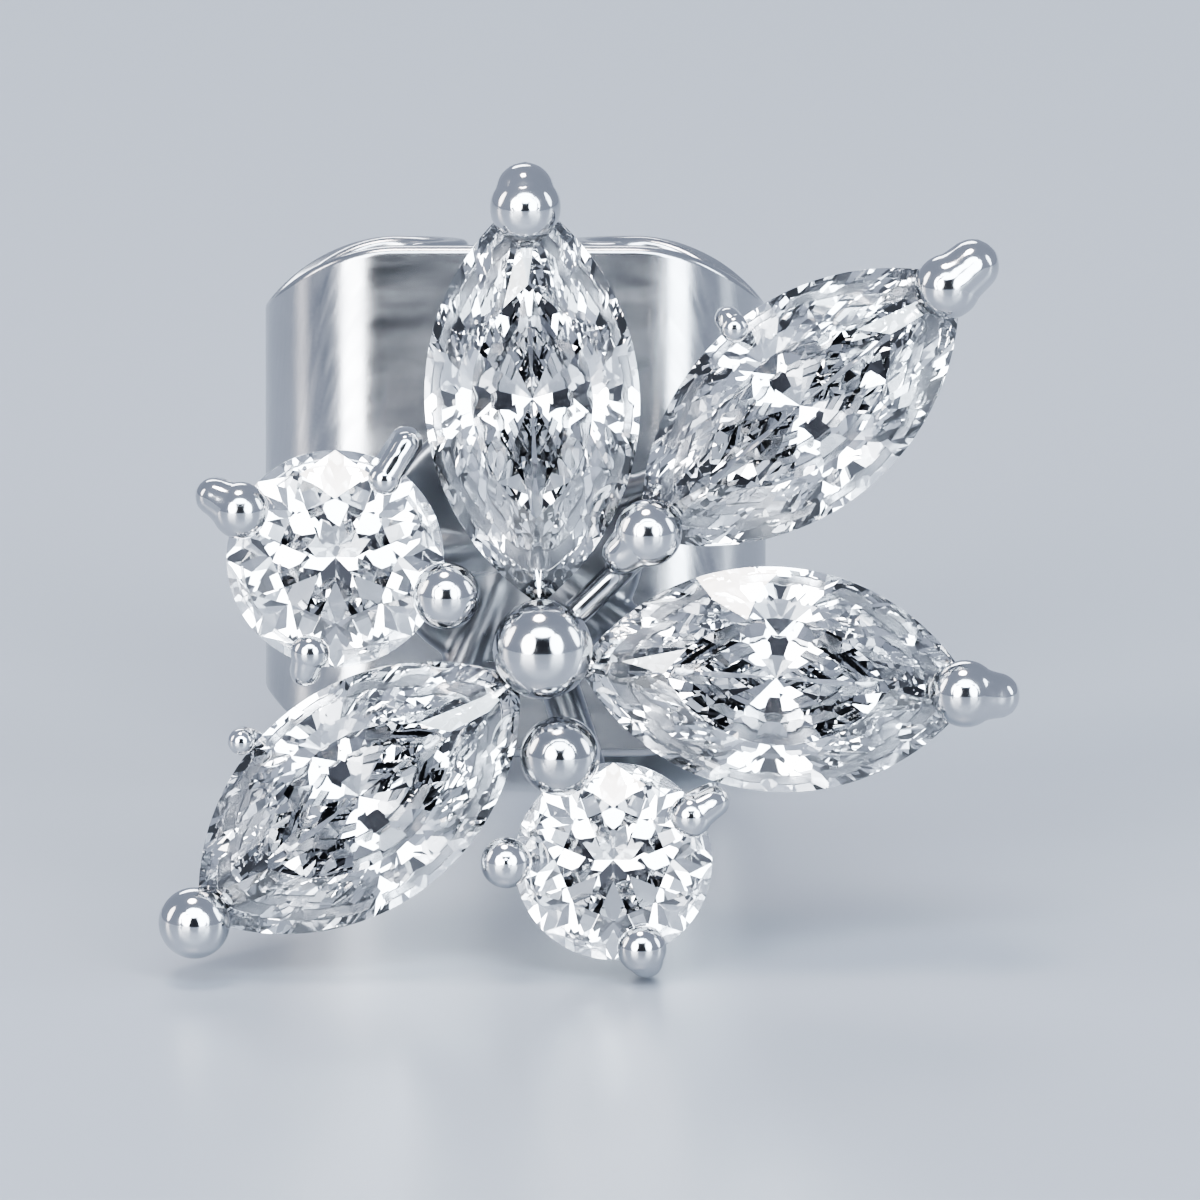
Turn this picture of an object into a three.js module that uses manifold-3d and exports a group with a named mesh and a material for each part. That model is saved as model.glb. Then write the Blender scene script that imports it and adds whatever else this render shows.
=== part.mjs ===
// A cluster stud earring as it rests on a level surface: four marquise and two round brilliants in open
// baskets round a middle bead, on a straight post that carries a butterfly clutch. Millimetres, +Z up.
import * as THREE from "three";
import { mergeVertices } from "three/addons/utils/BufferGeometryUtils.js";
import Module from "manifold-3d";

const wasm = await Module();
wasm.setup();

// The face has its own frame: x to the right, y up the face and z out of it, from the middle bead's axis
// at the level of the stones' girdles. A place on a stone's outline is a step from 0 to 16, anticlockwise:
// 0 and 8 are the ends of the long axis, 4 and 12 the middles of the long sides.

// x and y place the middle of a stone, turn is its long axis in degrees from x, hubStep is the outline step
// that faces the hub.
const stones = [
  { name: "marquise_top", x: -0.1, y: 2.42, turn: 92, length: 4, width: 2.1, hubStep: 8 },
  { name: "marquise_upper_right", x: 2.51, y: 2.35, turn: 39.5, length: 4, width: 2.06, hubStep: 8 },
  { name: "marquise_right", x: 2.28, y: -0.31, turn: -4, length: 3.87, width: 2.2, hubStep: 8 },
  { name: "marquise_lower_left", x: -1.79, y: -1.47, turn: 217, length: 3.9, width: 2.18, hubStep: 8 },
  { name: "round_left", x: -2.02, y: 0.87, turn: 0, length: 2.12, width: 2.12, hubStep: 15.8 },
  { name: "round_bottom", x: 0.69, y: -2.09, turn: 0, length: 1.93, width: 1.93, hubStep: 4.8 },
];

// The cut of every stone, as fractions of its width. The reaches say how far from the girdle towards the
// table the stars end, and how far towards the culet the lower girdle facets end.
const cut = { table: 0.57, crown: 0.15, girdle: 0.036, pavilion: 0.43, starReach: 0.5, lowerReach: 0.72 };
const outlineSteps = 16;
const girdleCuts = 3; // straight sides to a step of the girdle
const seatCuts = 1; // the same where a seat is cut for the stone
const seatGap = 0.04; // between a stone and the metal that is cut to seat it

// Rails under each stone: the upper one is its seat, the lower one the foot of its basket. outer and inner
// are fractions of the stone's outline.
const upperRail = { outer: 0.86, inner: 0.66, bottom: -0.54, top: -0.2, cuts: 2 };
const lowerRail = { outer: 0.58, inner: 0.36, bottom: -1.34, top: -1.08, cuts: 1 };

// Struts between the two rails of a stone's basket.
const strutRadius = 0.14;
const strutHead = 0.76; // fraction of the outline where a strut meets the upper rail
const struts = [
  { stone: 0, steps: [4, 8, 12] },
  { stone: 1, steps: [12] },
  { stone: 2, steps: [4, 8, 12] },
  { stone: 3, steps: [4, 8] },
];

// reach is how far in from the outline the bead's middle lies, out is how far outside it the shank's axis
// stands at the girdle, and bead and shank are radii.
const prongs = [
  { stone: 0, step: 0, bead: 0.345, reach: 0.07, shank: 0.21, out: 0.12 },
  { stone: 1, step: 0, bead: 0.33, reach: 0.12, shank: 0.2, out: 0.25 },
  { stone: 1, step: 8, bead: 0.33, reach: 0.08, shank: 0.2, out: 0.16 },
  { stone: 1, step: 4, bead: 0.14, reach: 0.02, shank: 0.13, out: 0.08 },
  { stone: 2, step: 0, bead: 0.33, reach: 0.07, shank: 0.2, out: 0.25 },
  { stone: 3, step: 0, bead: 0.35, reach: -0.06, shank: 0.22, out: 0.16 },
  { stone: 3, step: 12.95, bead: 0.13, reach: -0.12, shank: 0.13, out: 0.12 },
  { stone: 4, step: 6.78, bead: 0.3, reach: 0, shank: 0.18, out: 0.28 },
  { stone: 4, step: 2.3, bead: 0.24, reach: -0.02, shank: 0.19, out: 0.2 },
  { stone: 4, step: 15.2, bead: 0.33, reach: -0.08, shank: 0.2, out: 0.14 },
  { stone: 4, step: 11.33, bead: 0.2, reach: 0.12, shank: 0.16, out: 0.07 },
  { stone: 5, step: 5.18, bead: 0.39, reach: -0.2, shank: 0.22, out: 0.16 },
  { stone: 5, step: 1.52, bead: 0.25, reach: 0, shank: 0.17, out: 0.08 },
  { stone: 5, step: 8, bead: 0.25, reach: -0.08, shank: 0.17, out: 0.1 },
  { stone: 5, step: 12.81, bead: 0.25, reach: 0.08, shank: 0.17, out: 0.06 },
];
const basketFoot = 0.47; // fraction of the outline where shanks, struts and arms meet the lower rail
const prongElbow = -0.3; // height where a shank turns upright
const prongTop = 0.14; // height of a shank's rounded end
const beadHeight = 0.2;
const beadFlat = 0.86; // a bead's height over its width

const middle = { bead: 0.49, height: 0.24, shank: 0.25 };
const link = { radius: 0.14, height: 0.02, from: [0.12, 0.12], to: [1.02, 0.98] };

const hub = { x: -0.3, y: 0.95, radius: 1.3, front: -1.2, back: -1.62 };
const armRadius = 0.2;
const armEnd = lowerRail.bottom + armRadius / 2; // height of an arm's axis where it meets a lower rail
const post = { radius: 0.42, end: -11.6, tipRadius: 0.24, tipLength: 0.16 };

// The clutch is a strip bent into two loops behind a plate. front is the plate's front on the post.
const clutch = { front: -7.9, strip: 0.3, width: 5.1, height: 5.2, depth: 2.4, corner: 1.5, postGap: 0.05 };

// The lean that sets the bottom prong and the clutch's straight lower edge on one level.
const leanBack = 9.02;

const metal = { color: 0xdcdde0, roughness: 0.16, metalness: 1 };
const crystal = { color: 0xf3f7fb, roughness: 0.02, metalness: 0, flatShading: true };

const radians = THREE.MathUtils.degToRad;

function solidOf(geometry) {
  const bare = geometry.clone();
  bare.deleteAttribute("normal");
  bare.deleteAttribute("uv");
  const merged = mergeVertices(bare);
  const vertProperties = merged.attributes.position.array;
  const triVerts = new Uint32Array(merged.index.array);
  return new wasm.Manifold(new wasm.Mesh({ numProp: 3, vertProperties, triVerts }));
}

function meshOf(name, solid, look) {
  const { numProp, vertProperties, triVerts } = solid.getMesh();
  const geometry = new THREE.BufferGeometry();
  const corners = new THREE.InterleavedBuffer(vertProperties, numProp);
  geometry.setAttribute("position", new THREE.InterleavedBufferAttribute(corners, 3, 0));
  geometry.setIndex(new THREE.BufferAttribute(triVerts, 1));
  geometry.computeVertexNormals();
  const mesh = new THREE.Mesh(geometry, new THREE.MeshStandardMaterial(look));
  mesh.name = name;
  return mesh;
}

// Point and outward direction at a step of a stone's outline, in the stone's own frame. The outline is two
// arcs, which make a circle when the length is the width, and the direction at its two ends is the long axis.
function outlineAt(stone, step) {
  const halfSpan = 2 * Math.atan(stone.width / stone.length);
  const radius = stone.length / 2 / Math.sin(halfSpan);
  const half = outlineSteps / 2;
  const along = ((step % outlineSteps) + outlineSteps) % outlineSteps;
  const side = along < half ? 1 : -1;
  const angle = halfSpan * (1 - (along % half) / (half / 2));
  const point = new THREE.Vector2(Math.sin(angle), Math.cos(angle) - Math.cos(halfSpan));
  const atEnd = along % half === 0;
  const out = atEnd ? new THREE.Vector2(1, 0) : new THREE.Vector2(Math.sin(angle), Math.cos(angle));
  return { point: point.multiplyScalar(side * radius), out: out.multiplyScalar(side) };
}

// A point of the face frame: in by a fraction of the outline, or out from it by a length.
function onFace(stone, step, { fraction = 1, outBy = 0, height = 0 }) {
  const { point, out } = outlineAt(stone, step);
  const flat = point.multiplyScalar(fraction).addScaledVector(out, outBy);
  flat.rotateAround(new THREE.Vector2(), radians(stone.turn));
  return new THREE.Vector3(stone.x + flat.x, stone.y + flat.y, height);
}

// The point where three planes meet, or null.
function meet(a, b, c) {
  const bc = new THREE.Vector3().crossVectors(b.normal, c.normal);
  const ca = new THREE.Vector3().crossVectors(c.normal, a.normal);
  const ab = new THREE.Vector3().crossVectors(a.normal, b.normal);
  const volume = a.normal.dot(bc);
  if (Math.abs(volume) < 1e-9) return null;
  bc.multiplyScalar(-a.constant).addScaledVector(ca, -b.constant).addScaledVector(ab, -c.constant);
  return bc.divideScalar(volume);
}

// The plane through three points, facing away from the middle of the stone.
function facet(a, b, c) {
  const plane = new THREE.Plane().setFromCoplanarPoints(a, b, c);
  return plane.constant > 0 ? plane.negate() : plane;
}

// Eight main facets and sixteen half facets on one side of the girdle. inner gives the point where the
// main facet of a step ends, level is the girdle's edge, and split the height where the half facets end.
function facetsOfSide(stone, inner, level, split) {
  const edge = (step) => {
    const { point } = outlineAt(stone, step);
    return new THREE.Vector3(point.x, point.y, level);
  };
  const main = (step) => {
    const { out } = outlineAt(stone, step);
    return facet(inner(step), edge(step), edge(step).add(new THREE.Vector3(-out.y, out.x, 0)));
  };
  const planes = [];
  const ends = [];
  for (let step = 0; step < outlineSteps; step += 2) {
    const end = meet(main(step), main(step + 2), new THREE.Plane(new THREE.Vector3(0, 0, 1), -split));
    ends.push(end);
    planes.push(main(step));
    planes.push(facet(end, edge(step), edge(step + 1)));
    planes.push(facet(end, edge(step + 1), edge(step + 2)));
  }
  return { planes, ends };
}

// Every plane of a stone's cut, each moved out by grow, with a number of girdle sides to a step.
function cutPlanes(stone, grow, sides) {
  const halfGirdle = (cut.girdle * stone.width) / 2;
  const tableHeight = halfGirdle + cut.crown * stone.width;
  const culetHeight = -halfGirdle - cut.pavilion * stone.width;
  const tableCorner = (step) => {
    const { point } = outlineAt(stone, step);
    return new THREE.Vector3(point.x * cut.table, point.y * cut.table, tableHeight);
  };
  const culet = new THREE.Vector3(0, 0, culetHeight);
  const starEnd = tableHeight - cut.starReach * cut.crown * stone.width;
  const lowerEnd = -halfGirdle - cut.lowerReach * cut.pavilion * stone.width;
  const crown = facetsOfSide(stone, tableCorner, halfGirdle, starEnd);
  const pavilion = facetsOfSide(stone, () => culet, -halfGirdle, lowerEnd);
  const table = new THREE.Plane(new THREE.Vector3(0, 0, 1), -tableHeight);
  const planes = [table, ...crown.planes, ...pavilion.planes];
  crown.ends.forEach((end, i) => planes.push(facet(tableCorner(2 * i), tableCorner(2 * i + 2), end)));
  for (let i = 0; i < outlineSteps * sides; i++) {
    const [from, to] = [i, i + 1].map((n) => outlineAt(stone, n / sides).point);
    const below = new THREE.Vector3(from.x, from.y, -1);
    planes.push(facet(below, new THREE.Vector3(from.x, from.y, 1), new THREE.Vector3(to.x, to.y, 0)));
  }
  planes.forEach((plane) => (plane.constant -= grow));
  return planes;
}

// The convex body inside a set of planes, with a fan of triangles on each face.
function bodyInside(planes) {
  const [inside, same] = [1e-7, 1e-4];
  const corners = [];
  const faces = planes.map(() => new Set());
  const note = (corner, ...sides) => {
    let index = corners.findIndex((known) => known.distanceTo(corner) < same);
    if (index < 0) index = corners.push(corner) - 1;
    sides.forEach((side) => faces[side].add(index));
  };
  for (let i = 0; i < planes.length; i++)
    for (let j = i + 1; j < planes.length; j++)
      for (let k = j + 1; k < planes.length; k++) {
        const corner = meet(planes[i], planes[j], planes[k]);
        if (corner && planes.every((plane) => plane.distanceToPoint(corner) < inside)) note(corner, i, j, k);
      }
  const triangles = faces.flatMap((face, side) => {
    const ring = [...face];
    const centre = new THREE.Vector3();
    ring.forEach((index) => centre.addScaledVector(corners[index], 1 / ring.length));
    const { normal } = planes[side];
    const ahead = corners[ring[0]].clone().sub(centre);
    const aside = new THREE.Vector3().crossVectors(normal, ahead);
    const bearing = (index) => {
      const spoke = corners[index].clone().sub(centre);
      return Math.atan2(spoke.dot(aside), spoke.dot(ahead));
    };
    ring.sort((a, b) => bearing(a) - bearing(b));
    return ring.slice(2).flatMap((index, n) => [ring[0], ring[n + 1], index]);
  });
  return new THREE.BufferGeometry().setFromPoints(corners).setIndex(triangles);
}

function stoneSolid(stone, grow, sides) {
  const geometry = bodyInside(cutPlanes(stone, grow, sides));
  geometry.rotateZ(radians(stone.turn));
  return solidOf(geometry.translate(stone.x, stone.y, 0));
}

// A straight rod between two points.
function rod(from, to, radius, sides = 8) {
  const along = to.clone().sub(from);
  const geometry = new THREE.CylinderGeometry(radius, radius, along.length(), sides);
  const up = new THREE.Vector3(0, 1, 0);
  geometry.applyQuaternion(new THREE.Quaternion().setFromUnitVectors(up, along.clone().normalize()));
  const centre = from.clone().add(to).multiplyScalar(0.5);
  return solidOf(geometry.translate(centre.x, centre.y, centre.z));
}

function ball(centre, radius, flat = 1, sides = 12) {
  const geometry = new THREE.SphereGeometry(radius, sides, sides / 2).rotateX(Math.PI / 2);
  return solidOf(geometry.scale(1, 1, flat).translate(centre.x, centre.y, centre.z));
}

const middleHeight = ({ bottom, top }) => (bottom + top) / 2;

// A band that follows a stone's outline.
function rail(stone, { outer, inner, bottom, top, cuts }) {
  const ring = (fraction) =>
    Array.from({ length: outlineSteps * cuts }, (_, i) => {
      const { x, y } = onFace(stone, i / cuts, { fraction });
      return new THREE.Vector2(x, y);
    });
  const shape = new THREE.Shape(ring(outer));
  shape.holes.push(new THREE.Path(ring(inner)));
  const geometry = new THREE.ExtrudeGeometry(shape, { depth: top - bottom, bevelEnabled: false });
  return solidOf(geometry.translate(0, 0, bottom));
}

function strut(stone, step) {
  const foot = onFace(stone, step, { fraction: basketFoot, height: middleHeight(lowerRail) });
  const head = onFace(stone, step, { fraction: strutHead, height: middleHeight(upperRail) });
  return rod(foot, head, strutRadius);
}

// A shank that leaves the lower rail, turns upright outside the girdle, and ends under a bead.
function prong({ stone: index, step, bead, reach, shank, out }) {
  const stone = stones[index];
  const foot = onFace(stone, step, { fraction: basketFoot, height: middleHeight(lowerRail) });
  const elbow = onFace(stone, step, { outBy: out, height: prongElbow });
  const top = onFace(stone, step, { outBy: out, height: prongTop });
  const path = new THREE.CatmullRomCurve3([foot, elbow, top]);
  const section = new THREE.Shape().absarc(0, 0, shank, 0, 2 * Math.PI);
  const wire = { extrudePath: path, steps: 5, curveSegments: 4, bevelEnabled: false };
  const tip = onFace(stone, step, { outBy: -reach, height: beadHeight });
  const shankSolid = solidOf(new THREE.ExtrudeGeometry(section, wire));
  return shankSolid.add(ball(top, shank, 1, 8)).add(ball(tip, bead, beadFlat));
}

function middleBead() {
  const foot = new THREE.Vector3(0, 0, (hub.front + hub.back) / 2);
  const top = new THREE.Vector3(0, 0, middle.height);
  return rod(foot, top, middle.shank, 12).add(ball(top, middle.bead, beadFlat, 16));
}

function linkBar() {
  const [from, to] = [link.from, link.to].map(([x, y]) => new THREE.Vector3(x, y, link.height));
  return rod(from, to, link.radius);
}

// A round plate behind the middle, with an arm to the lower rail of each basket.
function hubPlate() {
  const back = new THREE.Vector3(hub.x, hub.y, hub.back);
  const front = new THREE.Vector3(hub.x, hub.y, hub.front);
  let solid = rod(back, front, hub.radius, 32);
  const start = back.clone().lerp(front, 0.5);
  for (const stone of stones) {
    const end = onFace(stone, stone.hubStep, { fraction: basketFoot, height: armEnd });
    solid = solid.add(rod(start, end, armRadius));
  }
  return solid;
}

function postWire() {
  const { radius, end, tipRadius, tipLength } = post;
  const root = (hub.front + hub.back) / 2;
  const profile = [[0, end], [tipRadius, end], [radius, end + tipLength], [radius, root], [0, root]];
  const geometry = new THREE.LatheGeometry(profile.map(([x, y]) => new THREE.Vector2(x, y)), 20);
  return solidOf(geometry.rotateX(Math.PI / 2).translate(hub.x, hub.y, 0));
}

function settingSolid() {
  const parts = [middleBead(), linkBar(), hubPlate(), postWire(), ...prongs.map(prong)];
  for (const stone of stones) parts.push(rail(stone, upperRail), rail(stone, lowerRail));
  for (const { stone, steps } of struts) steps.forEach((step) => parts.push(strut(stones[stone], step)));
  const metalSolid = parts.reduce((sum, part) => sum.add(part));
  return stones.reduce((sum, stone) => sum.subtract(stoneSolid(stone, seatGap, seatCuts)), metalSolid);
}

// Half of the strip's middle line, seen along the loops: out along the plate, round the outer bend, back
// behind the plate, and curled inwards beside the post. x is across the post and y along it.
function loopLine() {
  const { strip, width, depth, postGap } = clutch;
  const outerBend = (depth - strip) / 2;
  const bendX = (width - strip) / 2 - outerBend;
  const innerX = post.radius + postGap + strip / 2;
  const innerBend = 0.72 * outerBend;
  const curlX = innerX + innerBend;
  const curlY = -2 * outerBend + innerBend;
  const line = [new THREE.Vector2(0, 0)];
  const arc = (x, y, radius, from, to, cuts) => {
    for (let i = 0; i <= cuts; i++) {
      const angle = radians(from + ((to - from) * i) / cuts);
      line.push(new THREE.Vector2(x + radius * Math.cos(angle), y + radius * Math.sin(angle)));
    }
  };
  arc(bendX, -outerBend, outerBend, 90, -90, 10);
  arc(curlX, curlY, innerBend, -90, -250, 9);
  return line;
}

// The outline of a band of even thickness round a line.
function bandOutline(line, thickness) {
  const sides = [[], []];
  line.forEach((point, i) => {
    const before = line[Math.max(i - 1, 0)];
    const after = line[Math.min(i + 1, line.length - 1)];
    const along = after.clone().sub(before).normalize();
    const across = new THREE.Vector2(-along.y, along.x).multiplyScalar(thickness / 2);
    sides[0].push(point.clone().add(across));
    sides[1].unshift(point.clone().sub(across));
  });
  return new THREE.Shape([...sides[0], ...sides[1]]);
}

function roundedPlate(width, height, corner) {
  const shape = new THREE.Shape();
  const [x, y] = [width / 2 - corner, height / 2 - corner];
  shape.absarc(x, y, corner, 0, Math.PI / 2);
  shape.absarc(-x, y, corner, Math.PI / 2, Math.PI);
  shape.absarc(-x, -y, corner, Math.PI, 1.5 * Math.PI);
  shape.absarc(x, -y, corner, 1.5 * Math.PI, 2 * Math.PI);
  return shape;
}

function clutchSolid() {
  const { front, strip, width, height, depth, corner, postGap } = clutch;
  const right = loopLine();
  const left = right.slice(1).reverse().map(({ x, y }) => new THREE.Vector2(-x, y));
  const band = bandOutline([...left, ...right], strip);
  const loops = new THREE.ExtrudeGeometry(band, { depth: height, bevelEnabled: false });
  loops.translate(0, 0, -height / 2).rotateX(Math.PI / 2).translate(hub.x, hub.y, front - strip / 2);
  const outline = { depth: 2 * depth, curveSegments: 8, bevelEnabled: false };
  const plate = new THREE.ExtrudeGeometry(roundedPlate(width + strip, height, corner), outline);
  plate.translate(hub.x, hub.y, front - 1.5 * depth);
  const holeFront = new THREE.Vector3(hub.x, hub.y, front + depth);
  const holeBack = new THREE.Vector3(hub.x, hub.y, front - 2 * depth);
  const hole = rod(holeFront, holeBack, post.radius + postGap, 24);
  return solidOf(loops).intersect(solidOf(plate)).subtract(hole);
}

const face = new THREE.Group();
face.add(meshOf("setting", settingSolid(), metal));
face.add(meshOf("clutch", clutchSolid(), metal));
for (const stone of stones) face.add(meshOf(stone.name, stoneSolid(stone, 0, girdleCuts), crystal));
face.rotation.x = radians(90 - leanBack);

// The origin is under the middle of the whole earring, on the surface.
const earring = new THREE.Group();
earring.add(face);
earring.updateMatrixWorld(true);
const box = new THREE.Box3().setFromObject(face, true);
const centre = box.getCenter(new THREE.Vector3());
face.position.set(-centre.x, -centre.y, -box.min.z);

export default earring;
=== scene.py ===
import bmesh
import bpy
import math
import numpy as np
from mathutils import Matrix, Vector


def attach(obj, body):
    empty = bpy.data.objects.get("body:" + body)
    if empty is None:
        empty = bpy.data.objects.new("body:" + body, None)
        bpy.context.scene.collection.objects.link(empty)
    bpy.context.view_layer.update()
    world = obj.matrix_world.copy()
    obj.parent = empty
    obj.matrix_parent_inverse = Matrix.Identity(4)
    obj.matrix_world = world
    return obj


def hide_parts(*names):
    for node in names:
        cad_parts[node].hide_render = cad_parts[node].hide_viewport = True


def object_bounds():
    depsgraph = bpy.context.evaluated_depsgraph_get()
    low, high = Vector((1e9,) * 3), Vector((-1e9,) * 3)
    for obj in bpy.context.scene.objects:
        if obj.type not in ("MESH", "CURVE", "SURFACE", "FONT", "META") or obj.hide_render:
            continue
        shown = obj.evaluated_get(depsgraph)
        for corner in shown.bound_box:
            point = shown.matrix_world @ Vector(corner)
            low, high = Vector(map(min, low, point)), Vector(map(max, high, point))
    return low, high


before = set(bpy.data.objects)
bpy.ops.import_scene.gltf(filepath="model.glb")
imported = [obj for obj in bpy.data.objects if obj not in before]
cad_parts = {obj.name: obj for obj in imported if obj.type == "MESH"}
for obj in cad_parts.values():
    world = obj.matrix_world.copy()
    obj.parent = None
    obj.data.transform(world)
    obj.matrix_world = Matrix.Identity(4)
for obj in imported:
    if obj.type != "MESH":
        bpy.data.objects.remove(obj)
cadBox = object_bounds()
print("frame loaded:", sorted(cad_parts))

# Shapes are worked out in millimetres in the frame of the face: x to the right, y up the face and
# z out of it, from the middle bead's axis at the level of the girdles. toRow takes them to the row
# frame, in metres.
leanBack = math.radians(9.02)
millimetre = 0.001
outlineSteps = 16  # 0 and 8 are the ends of a stone's long axis, 4 and 12 the middles of its long sides

# turn is the long axis in degrees, length and width are the outline's, and hubStep faces the hub;
# struts are the steps where a strut joins the two rails of the basket
stones = {
    "marquise_top": {"turn": 92, "length": 4.0, "width": 2.1, "hubStep": 8, "struts": (4, 8, 12)},
    "marquise_upper_right": {"turn": 39.5, "length": 4.0, "width": 2.06, "hubStep": 8, "struts": (12,)},
    "marquise_right": {"turn": -4, "length": 3.87, "width": 2.2, "hubStep": 8, "struts": (4, 8, 12)},
    "marquise_lower_left": {"turn": 217, "length": 3.9, "width": 2.18, "hubStep": 8, "struts": (4, 8)},
    "round_left": {"turn": 0, "length": 2.12, "width": 2.12, "hubStep": 15.8, "struts": ()},
    "round_bottom": {"turn": 0, "length": 1.93, "width": 1.93, "hubStep": 4.8, "struts": ()},
}
# heights of the cut are shares of a stone's width, and the table's size is a share of the outline
cut = {"table": 0.57, "crown": 0.15, "girdle": 0.036, "pavilion": 0.43, "starReach": 0.5}
# the stone whose known place on the face tells where the face lies in the row frame
anchorStone = {"node": "round_left", "x": -2.02, "y": 0.87}


def turnOnly():
    return Matrix.Rotation(math.pi / 2 - leanBack, 4, "X") @ Matrix.Scale(millimetre, 4)


def nodePoints(node, matrix):
    # a CAD node's corners, taken back through the matrix
    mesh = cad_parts[node].data
    flat = np.empty(len(mesh.vertices) * 3)
    mesh.vertices.foreach_get("co", flat)
    inverse = np.array(matrix.inverted())
    return flat.reshape(-1, 3) @ inverse[:3, :3].T + inverse[:3, 3]


def findFace():
    points = nodePoints(anchorStone["node"], turnOnly())
    low, high = points.min(0), points.max(0)
    tableHeight = stones[anchorStone["node"]]["width"] * (cut["crown"] + cut["girdle"] / 2)
    x, y, _ = (low + high) / 2
    place = Vector((x - anchorStone["x"], y - anchorStone["y"], high[2] - tableHeight))
    return turnOnly() @ Matrix.Translation(place)


toRow = findFace()
for name, stone in stones.items():
    points = nodePoints(name, toRow)
    stone["x"], stone["y"] = ((points.min(0) + points.max(0)) / 2)[:2]
print("stones placed:", {n: (round(s["x"], 3), round(s["y"], 3)) for n, s in stones.items()})


def outlineAt(stone, step):
    # a point of a stone's outline and the direction away from the stone; the outline is two equal arcs
    halfSpan = 2 * math.atan(stone["width"] / stone["length"])
    radius = stone["length"] / 2 / math.sin(halfSpan)
    half = outlineSteps / 2
    along = step % outlineSteps
    side = 1 if along < half else -1
    angle = halfSpan * (1 - (along % half) / (half / 2))
    point = Vector((math.sin(angle), math.cos(angle) - math.cos(halfSpan))) * radius * side
    out = Vector((1, 0)) if along % half == 0 else Vector((math.sin(angle), math.cos(angle)))
    return point, out * side


def onFace(stone, step, fraction=1.0, outBy=0.0, height=0.0):
    point, out = outlineAt(stone, step)
    flat = point * fraction + out * outBy
    flat.rotate(Matrix.Rotation(math.radians(stone["turn"]), 2))
    return Vector((stone["x"] + flat.x, stone["y"] + flat.y, height))


def newTree(name, inputs):
    # inputs are rows of name, kind and value; the geometry goes in and out first
    tree = bpy.data.node_groups.new(name, "GeometryNodeTree")
    tree.interface.new_socket("Geometry", in_out="INPUT", socket_type="NodeSocketGeometry")
    for label, kind, value in inputs:
        socket = tree.interface.new_socket(label, in_out="INPUT", socket_type="NodeSocket" + kind)
        socket.default_value = value
    tree.interface.new_socket("Geometry", in_out="OUTPUT", socket_type="NodeSocketGeometry")
    return tree


def addNode(tree, kind, values=None, **settings):
    # values are plain, or another node's output, which is linked
    node = tree.nodes.new(kind)
    for key, value in settings.items():
        setattr(node, key, value)
    for key, value in (values or {}).items():
        if isinstance(value, bpy.types.NodeSocket):
            tree.links.new(value, node.inputs[key])
        else:
            node.inputs[key].default_value = value
    return node


def endTree(tree, geometry, material):
    real = addNode(tree, "GeometryNodeRealizeInstances", {"Geometry": geometry})
    coated = addNode(tree, "GeometryNodeSetMaterial", {
        "Geometry": real.outputs["Geometry"], "Material": material})
    addNode(tree, "NodeGroupOutput", {"Geometry": coated.outputs["Geometry"]})
    return tree


def grow(source, tree, name, inputs):
    # runs a tree on a source object and keeps the result as a plain mesh
    modifier = source.modifiers.new("grow", "NODES")
    modifier.node_group = tree
    for item in tree.interface.items_tree:
        if item.item_type == "SOCKET" and item.in_out == "INPUT" and item.name in inputs:
            modifier[item.identifier] = inputs[item.name]
    bpy.context.view_layer.update()
    mesh = evaluated(source)
    source.modifiers.remove(modifier)
    bpy.data.objects.remove(source)
    mesh.name = name
    return mesh


def evaluated(piece):
    depsgraph = bpy.context.evaluated_depsgraph_get()
    return bpy.data.meshes.new_from_object(piece.evaluated_get(depsgraph), depsgraph=depsgraph)


def applyModifiers(piece):
    mesh = evaluated(piece)
    piece.modifiers.clear()
    piece.data = mesh


def newObject(name, data):
    made = bpy.data.objects.new(name, data)
    bpy.context.scene.collection.objects.link(made)
    return made


def newMesh(name, points, faces):
    mesh = bpy.data.meshes.new(name)
    mesh.from_pydata([tuple(p) for p in points], [], faces)
    return mesh


def joined(name, meshes):
    made = [newObject(f"{name}_{i}", mesh) for i, mesh in enumerate(meshes)]
    with bpy.context.temp_override(active_object=made[0], object=made[0], selected_editable_objects=made):
        bpy.ops.object.join()
    made[0].name = name
    return made[0]


def ramp(tree, factor, stops):
    # stops are rows of place and colour
    node = addNode(tree, "ShaderNodeValToRGB", {"Fac": factor})
    while len(node.color_ramp.elements) < len(stops):
        node.color_ramp.elements.new(0.5)
    for element, (place, colour) in zip(node.color_ramp.elements, stops):
        element.position = place
        element.color = (*colour, 1)
    return node.outputs["Color"]


def setPolishAndShade(mesh, values):
    # the materials read this: 1 where the polishing wheel reaches and 0 deep in a basket, where they also
    # paint shade into the colour
    layer = mesh.attributes.new("polishAndShade", "FLOAT", "POINT")
    layer.data.foreach_set("value", values)


def newMaterial(name):
    material = bpy.data.materials.new(name)
    material.use_nodes = True
    material.node_tree.nodes.clear()
    return material, material.node_tree


noiseSpan = (0.3, 0.7)  # most of a noise lies between these, and colours and gloss follow it there
marksTurn = (0.4, 0.7, 0.2)  # the polishing marks run across all three axes
white = (1.0, 1.0, 1.0)


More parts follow.
